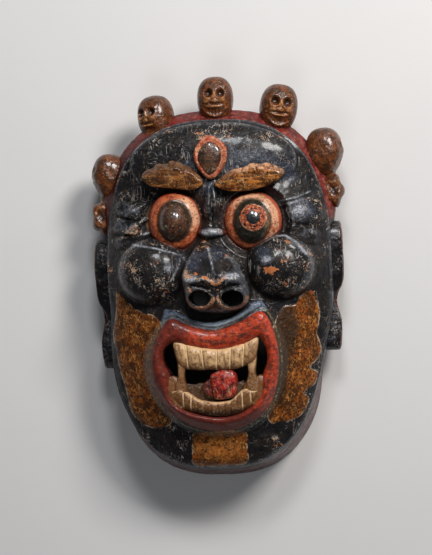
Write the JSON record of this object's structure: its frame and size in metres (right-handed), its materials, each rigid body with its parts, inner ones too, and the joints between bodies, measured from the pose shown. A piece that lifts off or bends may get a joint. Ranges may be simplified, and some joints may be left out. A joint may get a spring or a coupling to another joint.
{
  "type": "carved wooden dance mask",
  "caption": "Hollow carved and painted wooden cham dance mask: wrathful face with third eye, bulging eyes, open fanged mouth, long ears and a crown band of small skulls.",
  "frame": {"origin": "middle of the bounding box's underside, on the plane of the flat back rim that the mask lies on", "axes": "+Z the way the face looks, up from the surface it lies on; +Y towards the crown of skulls; +X towards the right of someone who looks at the face"},
  "size_m": [0.2582, 0.4075, 0.1455],
  "materials": {
    "painted_wood": "old carved softwood under blue-black, red, ochre and ivory paint, varnished and worn"
  },
  "bodies": {
    "root": {"mask": "painted_wood"}
  },
  "joints": []
}
